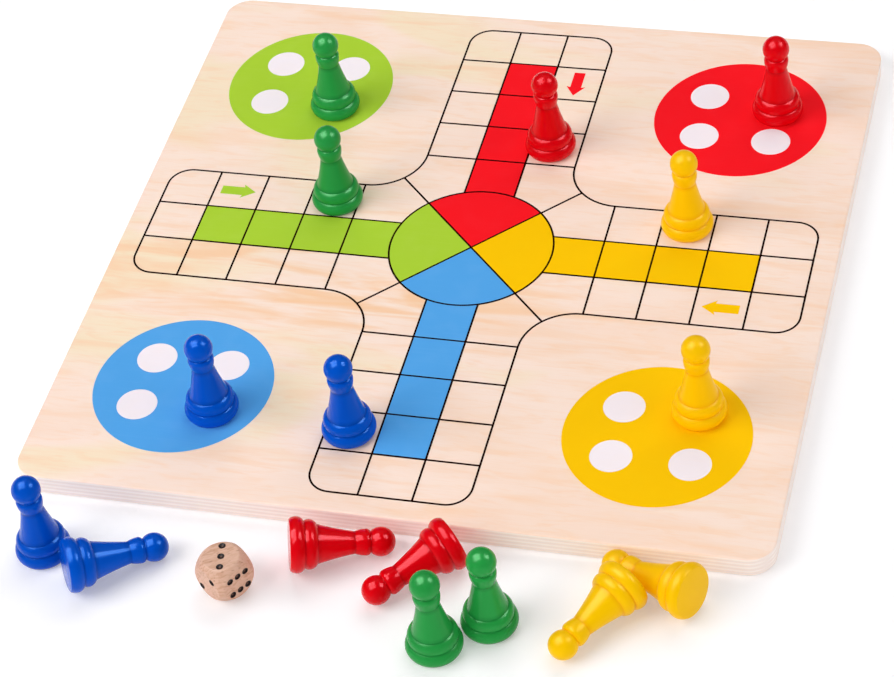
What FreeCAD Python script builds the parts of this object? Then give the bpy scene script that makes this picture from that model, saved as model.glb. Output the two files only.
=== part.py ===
import FreeCAD, Part
import math
import os

from FreeCAD import Placement, Rotation, Vector

# Ludo set: a printed plywood board, sixteen turned pawns and a wooden die, in millimetres.
# The origin is the centre of the board's underside, +X runs right along the front edge, +Z is up.

# Plywood board
PLY_COUNT = 9
PLY_THICKNESS = 0.95
BOARD_CORNER_RADIUS = 10.0
EDGE_ROUND = 0.7
BOARD_MARGIN = 9.05

# Printed track: a cross of four arms, three cells wide, round a centre circle
INK_THICKNESS = 0.1
LINE_WIDTH = 0.75
CELL = 20.1
CELLS_ACROSS_ARM = 3
FULL_CELLS_PER_ARM = 4
COLOURED_CELLS_PER_ARM = 3
TRACK_FILLET = 20.4
TRACK_CORNER_RADIUS = 9.0
CENTRE_RADIUS = 32.0

# Printed arrow, in the cell where each colour enters the track
ARROW_CELLS_FROM_END = 1.5
ARROW_LENGTH = 14.2
ARROW_SHAFT_WIDTH = 4.5
ARROW_HEAD_WIDTH = 7.7
ARROW_HEAD_LENGTH = 5.0
ARROW_BARB_SWEEP = 0.5

# Printed home discs with their four white dots
HOME_RADIUS = 34.25
HOME_TO_SIDE_EDGE = 16.0
HOME_TO_FRONT_EDGE = 18.5
DOT_RADIUS = 7.7
DOT_STEP_X = 14.3
DOT_STEP_Y = 12.2

# Turned pawn: foot flange, bead, hollow tapered body, flared collar and ball head
FOOT_RADIUS = 9.3
FLANGE_RADIUS = 10.1
FLANGE_HEIGHT = 5.3
FLANGE_BULGE_HEIGHT = 2.5
GROOVE_RADIUS = 8.5
BEAD_RADIUS = 8.9
BEAD_HEIGHT = 4.5
BEAD_BULGE_HEIGHT = 1.6
BODY_FOOT_RADIUS = 7.1
BODY_TOP_RADIUS = 4.0
BODY_HEIGHT = 13.2
BODY_HOLLOW = 0.2
COLLAR_RADIUS = 4.75
COLLAR_FLARE_HEIGHT = 3.6
COLLAR_FLARE_SWELL = 0.15
COLLAR_ROUND_HEIGHT = 2.0
COLLAR_ROUND_SWELL = 0.36
NECK_RADIUS = 3.8
BALL_RADIUS = 5.25

# Wooden die: a cube rounded off by a sphere, with painted pips in drilled dimples
DIE_EDGE = 16.0
DIE_SPHERE_RADIUS = 10.3
PIP_RADIUS = 1.25
PIP_STEP = 3.4
PIP_DEPTH = 0.5
PIP_PAINT_THICKNESS = 0.1

# How the loose pieces lie on the table: places to the right of the board's centre and out from its
# front edge, directions as turns from the right-hand side, and the gap left between neighbours
TOUCH_GAP = 0.6
DIE_X = -47.3
DIE_FROM_BOARD = 32.1
DIE_YAW = 57.0
GREEN_PAIR_X = 31.7
GREEN_PAIR_FROM_BOARD = 46.9
GREEN_PAIR_ANGLE = 38.0
BLUE_PAIR_X = -118.6
BLUE_PAIR_FROM_BOARD = 26.3
BLUE_PAIR_ANGLE = -43.3
BLUE_HEADING = 33.6
LEFT_RED_X = -27.1
LEFT_RED_FROM_BOARD = 18.9
LEFT_RED_HEADING = 19.8
RIGHT_RED_X = 29.9
RIGHT_RED_HEADING = -136.0
RIGHT_YELLOW_X = 116.0
RIGHT_YELLOW_HEADING = 156.6
LEFT_YELLOW_HEADING = -122.5
YELLOW_PAIR_ANGLE = -4.8
YELLOW_PAIR_GAP = 2.7

# How far a pawn in play stands to the right of and behind the centre of its dot or cell
OFF_CENTRE = {
    "pawn_red_1": (-0.1, -6.2),
    "pawn_blue_1": (0.8, 1.2),
    "pawn_yellow_1": (-1.2, 0.9),
    "pawn_green_2": (1.6, -0.5),
    "pawn_red_2": (-1.9, 0.5),
    "pawn_blue_2": (-1.0, -0.2),
    "pawn_yellow_2": (-0.1, 2.2),
}

# Sizes that follow from the ones above
BOARD_THICKNESS = PLY_COUNT * PLY_THICKNESS
ARM_HALF_WIDTH = CELLS_ACROSS_ARM * CELL / 2
ARM_START = ARM_HALF_WIDTH + TRACK_FILLET
ARM_END = ARM_START + FULL_CELLS_PER_ARM * CELL
BOARD_HALF = ARM_END + BOARD_MARGIN
PRINT_TOP = BOARD_THICKNESS + INK_THICKNESS
HOME_X = BOARD_HALF - HOME_TO_SIDE_EDGE - HOME_RADIUS
HOME_Y = BOARD_HALF - HOME_TO_FRONT_EDGE - HOME_RADIUS
BODY_FOOT = FLANGE_HEIGHT + BEAD_HEIGHT
BODY_TOP = BODY_FOOT + BODY_HEIGHT
COLLAR_RIM = BODY_TOP + COLLAR_FLARE_HEIGHT
NECK_HEIGHT = COLLAR_RIM + COLLAR_ROUND_HEIGHT
BALL_CENTRE = NECK_HEIGHT + math.sqrt(BALL_RADIUS ** 2 - NECK_RADIUS ** 2)
PAWN_HEIGHT = BALL_CENTRE + BALL_RADIUS
PIP_DRILL_RADIUS = (PIP_RADIUS ** 2 + PIP_DEPTH ** 2) / (2 * PIP_DEPTH)

# The colours in the order of their arms, one quarter turn after another from the right-hand arm
ARM_ORDER = ("yellow", "red", "green", "blue")

ORIGIN = Vector(0, 0, 0)
UP = Vector(0, 0, 1)


def rounded_plate(side, radius, bottom, thickness):
    """A square plate with round corners, centred on the origin in plan."""
    half = side / 2
    straight = half - radius
    diagonal = straight + radius * math.sqrt(0.5)
    edges = []
    for quarter in range(4):
        run = Part.makeLine(Vector(half, -straight, 0), Vector(half, straight, 0))
        corner = Part.Arc(Vector(half, straight, 0), Vector(diagonal, diagonal, 0), Vector(straight, half, 0))
        for edge in (run, corner.toShape()):
            edges.append(edge.rotated(ORIGIN, UP, 90 * quarter))
    plate = Part.Face(Part.Wire(edges)).extrude(Vector(0, 0, thickness))
    plate.translate(Vector(0, 0, bottom))
    return plate


def round_outer_edges(plate, level):
    """Sand the plate's outer edges at one level."""
    at_level = [e for e in plate.Edges if abs(e.BoundBox.ZMin - level) < 1e-6 and e.BoundBox.ZLength < 1e-6]
    return plate.makeFillet(EDGE_ROUND, at_level)


def board_plies():
    """The plywood's veneers, from the printed face down to the underside."""
    plies = {}
    for number in range(1, PLY_COUNT + 1):
        bottom = BOARD_THICKNESS - number * PLY_THICKNESS
        ply = rounded_plate(2 * BOARD_HALF, BOARD_CORNER_RADIUS, bottom, PLY_THICKNESS)
        if number == 1:
            ply = round_outer_edges(ply, BOARD_THICKNESS)
        if number == PLY_COUNT:
            ply = round_outer_edges(ply, 0)
        plies["board_ply_%d" % number] = ply
    return plies


def inked(face):
    """A flat shape at z = 0 as a film of ink on the board's face."""
    film = face.extrude(Vector(0, 0, INK_THICKNESS))
    film.translate(Vector(0, 0, BOARD_THICKNESS))
    return film


def disc(radius, x=0.0, y=0.0):
    """A film of ink in the shape of a disc."""
    circle = Part.makeCircle(radius, Vector(x, y, 0))
    return inked(Part.Face(Part.Wire(circle)))


def polygon(points):
    """A film of ink with straight sides."""
    corners = [Vector(x, y, 0) for x, y in points]
    return inked(Part.Face(Part.makePolygon(corners + corners[:1])))


def strip(x_start, x_end, y_low, y_high):
    """A film of ink in the shape of a rectangle."""
    return polygon([(x_start, y_low), (x_end, y_low), (x_end, y_high), (x_start, y_high)])


def turned(shape, angle):
    """A copy of the shape, turned about the board's centre."""
    return shape.rotated(ORIGIN, UP, angle)


def track_area(grow):
    """The cross-shaped track with its outline moved outwards by grow."""
    half = ARM_HALF_WIDTH + grow
    end = ARM_END + grow
    corner = TRACK_CORNER_RADIUS + grow
    fillet = TRACK_FILLET - grow
    bend = corner * (1 - math.sqrt(0.5))
    crook = ARM_START - fillet * math.sqrt(0.5)
    front_side = Part.makeLine(Vector(ARM_START, -half, 0), Vector(end - corner, -half, 0))
    front_corner = Part.Arc(
        Vector(end - corner, -half, 0), Vector(end - bend, bend - half, 0), Vector(end, corner - half, 0)
    )
    tip = Part.makeLine(Vector(end, corner - half, 0), Vector(end, half - corner, 0))
    back_corner = Part.Arc(
        Vector(end, half - corner, 0), Vector(end - bend, half - bend, 0), Vector(end - corner, half, 0)
    )
    back_side = Part.makeLine(Vector(end - corner, half, 0), Vector(ARM_START, half, 0))
    inner = Part.Arc(Vector(ARM_START, half, 0), Vector(crook, crook, 0), Vector(half, ARM_START, 0))
    arm = [front_side, front_corner.toShape(), tip, back_corner.toShape(), back_side, inner.toShape()]
    edges = [turned(edge, 90 * quarter) for quarter in range(4) for edge in arm]
    return inked(Part.Face(Part.Wire(edges)))


def track_lines():
    """The dark line work: outline, cell lines, centre circle and diagonals, as one film."""
    half_line = LINE_WIDTH / 2
    outer = track_area(half_line)
    outline = outer.cut(track_area(-half_line))
    pieces = [disc(CENTRE_RADIUS + half_line).cut(disc(CENTRE_RADIUS - half_line))]
    centre = disc(CENTRE_RADIUS)
    for arm in range(4):
        for side in (-1, 1):
            along = strip(0, ARM_END, side * CELL / 2 - half_line, side * CELL / 2 + half_line)
            pieces.append(turned(along.cut(centre), 90 * arm))
        for cell in range(FULL_CELLS_PER_ARM):
            x = ARM_START + cell * CELL
            across = strip(x - half_line, x + half_line, -ARM_HALF_WIDTH, ARM_HALF_WIDTH)
            pieces.append(turned(across, 90 * arm))
        diagonal = strip(0, 2 * ARM_HALF_WIDTH, -half_line, half_line)
        pieces.append(turned(diagonal, 45 + 90 * arm).common(outer))
    return outline.fuse(pieces).removeSplitter()


def arrow():
    """The entry arrow of the right-hand arm, pointing to the centre."""
    x = ARM_END - ARROW_CELLS_FROM_END * CELL
    tip = x - ARROW_LENGTH / 2
    tail = x + ARROW_LENGTH / 2
    neck = tip + ARROW_HEAD_LENGTH
    barb = neck + ARROW_BARB_SWEEP
    upper = [(tail, ARROW_SHAFT_WIDTH / 2), (neck, ARROW_SHAFT_WIDTH / 2), (barb, ARROW_HEAD_WIDTH / 2)]
    lower = [(px, -py) for px, py in reversed(upper)]
    shape = polygon(upper + [(tip, 0)] + lower)
    shape.translate(Vector(0, -CELL, 0))
    return shape


def arm_angle(colour):
    """The turn, in degrees, that takes the right-hand arm to a colour's arm."""
    return 90 * ARM_ORDER.index(colour)


def home_centre(colour):
    """Plan centre of a colour's home disc, in the board corner just before its arm."""
    corner = math.radians(arm_angle(colour) - 45)
    return math.copysign(HOME_X, math.cos(corner)), math.copysign(HOME_Y, math.sin(corner))


def home_dots(colour):
    """Plan positions of the four dots of one home disc, front ones first, each pair from the left."""
    x, y = home_centre(colour)
    return [(x + side * DOT_STEP_X, y + row * DOT_STEP_Y) for row in (-1, 1) for side in (-1, 1)]


def colour_print(colour, lines):
    """One colour's home disc, home column, centre quarter and entry arrow."""
    angle = arm_angle(colour)
    home = disc(HOME_RADIUS, *home_centre(colour))
    home = home.cut([disc(DOT_RADIUS, x, y) for x, y in home_dots(colour)])
    column_end = ARM_START + COLOURED_CELLS_PER_ARM * CELL
    column = strip(0, column_end, -CELL / 2, CELL / 2).cut(disc(CENTRE_RADIUS))
    wedge = polygon([(0, 0), (2 * CENTRE_RADIUS, -2 * CENTRE_RADIUS), (2 * CENTRE_RADIUS, 2 * CENTRE_RADIUS)])
    quarter = disc(CENTRE_RADIUS).common(wedge)
    on_track = [turned(film.cut(lines), angle) for film in (column, quarter)]
    solids = home.Solids + turned(arrow(), angle).Solids
    for film in on_track:
        solids += film.Solids
    return Part.makeCompound(solids)


def board_print():
    """All the ink on the board, one film for each colour."""
    lines = track_lines()
    films = {"print_lines": lines}
    for colour in ARM_ORDER:
        films["print_%s" % colour] = colour_print(colour, lines)
    dots = [disc(DOT_RADIUS, x, y) for colour in ARM_ORDER for x, y in home_dots(colour)]
    films["print_white"] = Part.makeCompound([dot.Solids[0] for dot in dots])
    return films


def flange_arc():
    """The round side of the foot flange, in the XZ plane."""
    bulge = Vector(FLANGE_RADIUS, 0, FLANGE_BULGE_HEIGHT)
    return Part.Arc(Vector(FOOT_RADIUS, 0, 0), bulge, Vector(GROOVE_RADIUS, 0, FLANGE_HEIGHT))


def swelling_arc(start, end, swell):
    """An arc in the XZ plane that swells by swell to the right of the way from start to end."""
    chord = end - start
    outwards = Vector(chord.z, 0, -chord.x).normalize()
    return Part.Arc(start, (start + end) * 0.5 + outwards * swell, end)


def pawn_profile():
    """Half section of the pawn in the XZ plane, from the foot's centre to the top of the ball."""
    groove = Vector(GROOVE_RADIUS, 0, FLANGE_HEIGHT)
    bead = Vector(BEAD_RADIUS, 0, FLANGE_HEIGHT + BEAD_BULGE_HEIGHT)
    body_foot = Vector(BODY_FOOT_RADIUS, 0, BODY_FOOT)
    body_top = Vector(BODY_TOP_RADIUS, 0, BODY_TOP)
    rim = Vector(COLLAR_RADIUS, 0, COLLAR_RIM)
    neck = Vector(NECK_RADIUS, 0, NECK_HEIGHT)
    equator = Vector(BALL_RADIUS, 0, BALL_CENTRE)
    top = Vector(0, 0, PAWN_HEIGHT)
    curves = [
        Part.LineSegment(ORIGIN, Vector(FOOT_RADIUS, 0, 0)),
        flange_arc(),
        Part.Arc(groove, bead, body_foot),
        swelling_arc(body_foot, body_top, -BODY_HOLLOW),
        swelling_arc(body_top, rim, COLLAR_FLARE_SWELL),
        swelling_arc(rim, neck, COLLAR_ROUND_SWELL),
        Part.Arc(neck, equator, top),
        Part.LineSegment(top, ORIGIN),
    ]
    return Part.Wire([curve.toShape() for curve in curves])


def pawn():
    """One turned pawn, standing on the origin."""
    return Part.Face(pawn_profile()).revolve(ORIGIN, UP, 360).Solids[0]


def lying_tilt():
    """How far, in degrees, a lying pawn's axis dips from flange to ball when both touch the table."""
    arc = flange_arc().toShape().Curve
    along = BALL_CENTRE - arc.Center.z
    slope = math.atan2(arc.Center.x, along)
    return math.degrees(slope + math.asin((arc.Radius - BALL_RADIUS) / math.hypot(along, arc.Center.x)))


def standing(shape, x, y, level):
    """A copy of the pawn standing at a place."""
    copy = shape.copy()
    copy.Placement = Placement(Vector(x, y, level), Rotation())
    return copy


def lying(shape, x, y, heading):
    """A copy of the pawn lying on the table, its foot's centre above a place, its head towards heading."""
    tilt = lying_tilt()
    height = BALL_CENTRE * math.sin(math.radians(tilt)) + BALL_RADIUS
    turn = Rotation(UP, heading).multiply(Rotation(Vector(0, 1, 0), 90 + tilt))
    copy = shape.copy()
    copy.Placement = Placement(Vector(x, y, height), turn)
    return copy


def ball_reach(heading):
    """How far behind its foot's centre the ball of a lying pawn reaches."""
    along = BALL_CENTRE * math.cos(math.radians(lying_tilt()))
    return along * math.sin(math.radians(heading)) + BALL_RADIUS


def flange_reach(heading):
    """How far behind its foot's centre the flange of a lying pawn reaches, at most."""
    return FLANGE_RADIUS * abs(math.cos(math.radians(heading)))


def track_cell(colour, cell, row):
    """Plan centre of a cell of one arm: cell counts outwards, row is -1, 0 or 1 across the arm."""
    on_right_arm = Vector(ARM_START + (cell - 0.5) * CELL, row * CELL, 0)
    spot = Rotation(UP, arm_angle(colour)).multVec(on_right_arm)
    return spot.x, spot.y


def pawns_on_board(shape):
    """The eight pawns in play: one of each colour on a home dot and one on the track."""
    places = {
        "pawn_green_1": home_dots("green")[1],
        "pawn_red_1": home_dots("red")[3],
        "pawn_blue_1": home_dots("blue")[1],
        "pawn_yellow_1": home_dots("yellow")[3],
        "pawn_green_2": track_cell("green", 1, -1),
        "pawn_red_2": track_cell("red", 1, -1),
        "pawn_blue_2": track_cell("blue", 3, -1),
        "pawn_yellow_2": track_cell("yellow", 2, 1),
    }
    pawns = {}
    for name, (x, y) in places.items():
        right, back = OFF_CENTRE.get(name, (0, 0))
        pawns[name] = standing(shape, x + right, y + back, PRINT_TOP)
    return pawns


def beside(x, y, angle, gap):
    """Plan place of a pawn whose flange is a gap away from that of the pawn at x, y."""
    step = 2 * FLANGE_RADIUS + gap
    return x + step * math.cos(math.radians(angle)), y + step * math.sin(math.radians(angle))


def pawns_on_table(shape):
    """The eight loose pawns on the table in front of the board, none over another."""
    front = -BOARD_HALF
    green_y = front - GREEN_PAIR_FROM_BOARD
    green_x, green_back_y = beside(GREEN_PAIR_X, green_y, GREEN_PAIR_ANGLE, TOUCH_GAP)
    blue_y = front - BLUE_PAIR_FROM_BOARD
    blue_x, blue_front_y = beside(BLUE_PAIR_X, blue_y, BLUE_PAIR_ANGLE, TOUCH_GAP)
    red_y = front - TOUCH_GAP - flange_reach(RIGHT_RED_HEADING)
    yellow_y = front - TOUCH_GAP - ball_reach(RIGHT_YELLOW_HEADING)
    yellow_x, yellow_left_y = beside(RIGHT_YELLOW_X, yellow_y, YELLOW_PAIR_ANGLE + 180, YELLOW_PAIR_GAP)
    return {
        "pawn_green_3": standing(shape, GREEN_PAIR_X, green_y, 0),
        "pawn_green_4": standing(shape, green_x, green_back_y, 0),
        "pawn_blue_3": standing(shape, BLUE_PAIR_X, blue_y, 0),
        "pawn_blue_4": lying(shape, blue_x, blue_front_y, BLUE_HEADING),
        "pawn_red_3": lying(shape, LEFT_RED_X, front - LEFT_RED_FROM_BOARD, LEFT_RED_HEADING),
        "pawn_red_4": lying(shape, RIGHT_RED_X, red_y, RIGHT_RED_HEADING),
        "pawn_yellow_3": lying(shape, yellow_x, yellow_left_y, LEFT_YELLOW_HEADING),
        "pawn_yellow_4": lying(shape, RIGHT_YELLOW_X, yellow_y, RIGHT_YELLOW_HEADING),
    }


def pip_places(value):
    """Places of the pips of one die face, in steps from its centre."""
    corners = [(-1, -1), (1, 1)]
    others = [(-1, 1), (1, -1)]
    places = []
    if value % 2:
        places.append((0, 0))
    if value > 1:
        places += corners
    if value > 3:
        places += others
    if value == 6:
        places += [(0, -1), (0, 1)]
    return places


def drill_tip(height):
    """The lowest part of the round drill, up to a height, with its lowest point at the origin."""
    latitude = math.degrees(math.asin(height / PIP_DRILL_RADIUS - 1))
    return Part.makeSphere(PIP_DRILL_RADIUS, Vector(0, 0, PIP_DRILL_RADIUS), UP, -90, latitude, 360)


def die():
    """The die as its wooden body and the paint in its pips."""
    half = DIE_EDGE / 2
    cube = Part.makeBox(DIE_EDGE, DIE_EDGE, DIE_EDGE, Vector(-half, -half, -half))
    body = cube.common(Part.makeSphere(DIE_SPHERE_RADIUS))
    x_axis = Vector(1, 0, 0)
    y_axis = Vector(0, 1, 0)
    faces = [(1, y_axis, -x_axis), (2, -x_axis, -y_axis), (3, UP, x_axis)]
    faces += [(7 - value, -normal, -across) for value, normal, across in faces]
    drill = drill_tip(2 * PIP_DEPTH)
    inside = Part.makeSphere(PIP_DRILL_RADIUS - PIP_PAINT_THICKNESS, Vector(0, 0, PIP_DRILL_RADIUS))
    cup = drill_tip(PIP_DEPTH).cut(inside).Solids[0]
    dimples = []
    paint = []
    for value, normal, across in faces:
        turn = Rotation(across, normal.cross(across), normal, "ZXY")
        for step_u, step_v in pip_places(value):
            floor = Placement(Vector(step_u * PIP_STEP, step_v * PIP_STEP, half - PIP_DEPTH), Rotation())
            for tool, group in ((drill, dimples), (cup, paint)):
                copy = tool.copy()
                copy.Placement = Placement(ORIGIN, turn).multiply(floor)
                group.append(copy)
    placed = Placement(Vector(DIE_X, -BOARD_HALF - DIE_FROM_BOARD, half), Rotation(UP, DIE_YAW))
    shapes = {"die_body": body.cut(dimples).Solids[0], "die_pips": Part.makeCompound(paint)}
    for shape in shapes.values():
        shape.Placement = placed.multiply(shape.Placement)
    return shapes


def build():
    """All the nodes of the set, by name."""
    shape = pawn()
    nodes = {}
    for group in (board_plies(), board_print(), pawns_on_board(shape), pawns_on_table(shape), die()):
        nodes.update(group)
    return nodes


os.makedirs("parts", exist_ok=True)
for name, node in build().items():
    node.exportStep(os.path.join("parts", name + ".step"))
    print(name, len(node.Solids), round(node.Volume, 2), node.isValid())
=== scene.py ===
"""Looks of a ludo set: a printed plywood board, sixteen turned and painted pawns and a wooden die.

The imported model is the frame. The veneers, the pawns and the die are modelled again with finer forms in the
places of their solids, and the printed films keep their solids and get their inks. All sizes are in metres.
"""

import logging
import math
from dataclasses import dataclass
from enum import Enum
from typing import Callable, Dict, List, NamedTuple, Optional, Sequence, Tuple, Union

import bmesh
import bpy
from bpy.types import Material, MeshPolygon, Node, NodeOutputs, NodeSocket, NodeTree, Object
from mathutils import Matrix, Vector

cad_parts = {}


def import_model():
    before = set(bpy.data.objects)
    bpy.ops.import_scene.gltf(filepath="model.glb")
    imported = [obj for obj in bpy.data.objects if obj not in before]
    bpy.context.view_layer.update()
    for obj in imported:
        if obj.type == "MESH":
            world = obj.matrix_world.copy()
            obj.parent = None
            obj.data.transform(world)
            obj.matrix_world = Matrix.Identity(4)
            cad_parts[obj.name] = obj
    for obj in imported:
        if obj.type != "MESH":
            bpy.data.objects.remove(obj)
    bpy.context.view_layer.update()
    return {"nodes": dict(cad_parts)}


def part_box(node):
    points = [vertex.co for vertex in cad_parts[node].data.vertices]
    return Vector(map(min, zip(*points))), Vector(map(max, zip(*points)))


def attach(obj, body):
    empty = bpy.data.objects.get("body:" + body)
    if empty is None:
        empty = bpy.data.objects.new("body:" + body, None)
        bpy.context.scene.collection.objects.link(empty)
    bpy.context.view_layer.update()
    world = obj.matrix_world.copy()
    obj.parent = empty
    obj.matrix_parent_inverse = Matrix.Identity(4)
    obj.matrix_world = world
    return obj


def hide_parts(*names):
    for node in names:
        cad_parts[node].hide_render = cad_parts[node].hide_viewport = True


LOG = logging.getLogger("ludo_set")

Tone = Tuple[float, ...]
Triple = Tuple[float, float, float]
Point = Tuple[float, float]
Feed = Union[NodeSocket, float, Sequence[float]]
Feeds = Dict[Union[str, int], Feed]

MM = 0.001
ORIGIN = (0.0, 0.0, 0.0)
WHITE = (1.0, 1.0, 1.0)


def tone(red: int, green: int, blue: int) -> Tone:
    """Turn a screen colour, 0 to 255 in each channel, into a shader's linear one by the sRGB curve."""
    shares = [channel / 255 for channel in (red, green, blue)]
    return tuple(s / 12.92 if s <= 0.04045 else ((s + 0.055) / 1.055) ** 2.4 for s in shares)


class PawnColour(Enum):
    """The four colours of the game."""

    GREEN = "green"
    RED = "red"
    BLUE = "blue"
    YELLOW = "yellow"


class GrainRun(Enum):
    """The direction in which a veneer's grain runs on the board, in quarter turns."""

    LENGTHWISE = 0
    CROSSWISE = 1


class LampUse(Enum):
    """What a lamp does: light the surfaces, or show in their gloss."""

    FILL = "fill"
    GLINT = "glint"


@dataclass(frozen=True)
class Step:
    """A smooth step up from 0: where it starts, where it ends and how high it rises."""

    low: Feed
    high: Feed
    top: float = 1.0


@dataclass(frozen=True)
class Relief:
    """What a height of 1 measures on a surface, and the share of it that shows."""

    depth: float
    strength: float


class NodeBench:
    """Adds nodes to one shader tree and joins them."""

    def __init__(self, tree: NodeTree) -> None:
        """Keep the tree of a material, a world or a group."""
        self.tree = tree

    def feed(self, node: Node, feeds: Feeds) -> None:
        """Link sockets to a node's inputs, and set the inputs that get plain values.

        Args:
            node: The node.
            feeds: The sockets and values, by the name or number of the input.
        """
        for key, value in feeds.items():
            target = node.inputs[key]
            if isinstance(value, NodeSocket):
                self.tree.links.new(value, target)
            else:
                target.default_value = value

    def add(self, kind: str, feeds: Optional[Feeds] = None, **settings: object) -> NodeOutputs:
        """Add one node.

        Args:
            kind: Blender's name of the node type.
            feeds: What goes into its inputs.
            settings: The node's own properties.

        Returns:
            The new node's outputs.
        """
        node = self.tree.nodes.new(kind)
        for name, value in settings.items():
            setattr(node, name, value)
        self.feed(node, feeds or {})
        return node.outputs

    def effect(self, group: NodeTree, **feeds: Feed) -> NodeOutputs:
        """Place a shared group in the tree, feed its inputs by name and give its outputs."""
        return self.add("ShaderNodeGroup", feeds, node_tree=group)

    def calc(self, operation: str, first: Feed, second: Feed = 0.0) -> NodeSocket:
        """Work out one number from one or two."""
        return self.add("ShaderNodeMath", {0: first, 1: second}, operation=operation)[0]

    def vector(self, operation: str, first: Feed, second: Feed) -> NodeSocket:
        """Work out one vector from two."""
        return self.add("ShaderNodeVectorMath", {0: first, 1: second}, operation=operation)["Vector"]

    def measure(self, operation: str, first: Feed, second: Feed = ORIGIN) -> NodeSocket:
        """Work out one number from one or two vectors."""
        return self.add("ShaderNodeVectorMath", {0: first, 1: second}, operation=operation)["Value"]

    def turned(self, vector: Feed, angles: Triple) -> NodeSocket:
        """Turn a vector about the three axes, by angles in radians."""
        return self.add("ShaderNodeMapping", {"Vector": vector, "Rotation": angles})[0]

    def noise(self, vector: Feed, scale: Feed, detail: float, wander: float = 0.0) -> NodeSocket:
        """Add soft noise from 0 to 1, with octaves of detail and a wander that distorts it."""
        feeds = {"Vector": vector, "Scale": scale, "Detail": detail, "Distortion": wander}
        return self.add("ShaderNodeTexNoise", feeds)[0]

    def rise(self, value: Feed, step: Step) -> NodeSocket:
        """Turn a value into a smooth step."""
        feeds = {"Value": value, "From Min": step.low, "From Max": step.high, "To Max": step.top}
        return self.add("ShaderNodeMapRange", feeds, interpolation_type="SMOOTHSTEP")[0]

    def sway(self, value: Feed, step: Step, middle: float) -> NodeSocket:
        """Let a value sway a number about its middle, by the height of a step."""
        return self.calc("ADD", self.rise(value, step), middle - step.top / 2)

    def mix(self, share: Feed, first: Feed, second: Feed) -> NodeSocket:
        """Mix two colours.

        Args:
            share: Share of the second colour.
            first: First colour.
            second: Second colour.

        Returns:
            The mixed colour's socket.
        """
        colours = [(*colour, 1.0) if isinstance(colour, tuple) else colour for colour in (first, second)]
        # The node has a pair of inputs for each kind of value: 6 and 7 take colours, 2 and 3 numbers.
        return self.add("ShaderNodeMix", {0: share, 6: colours[0], 7: colours[1]}, data_type="RGBA")[2]

    def between(self, share: Feed, first: Feed, second: Feed) -> NodeSocket:
        """Mix two numbers, by the share of the second."""
        return self.add("ShaderNodeMix", {0: share, 2: first, 3: second}, data_type="FLOAT")[0]

    def bump(self, height: Feed, relief: Relief) -> NodeSocket:
        """Turn a height from 0 to 1 into a normal."""
        feeds = {"Height": height, "Distance": relief.depth, "Strength": relief.strength}
        return self.add("ShaderNodeBump", feeds)[0]


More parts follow.
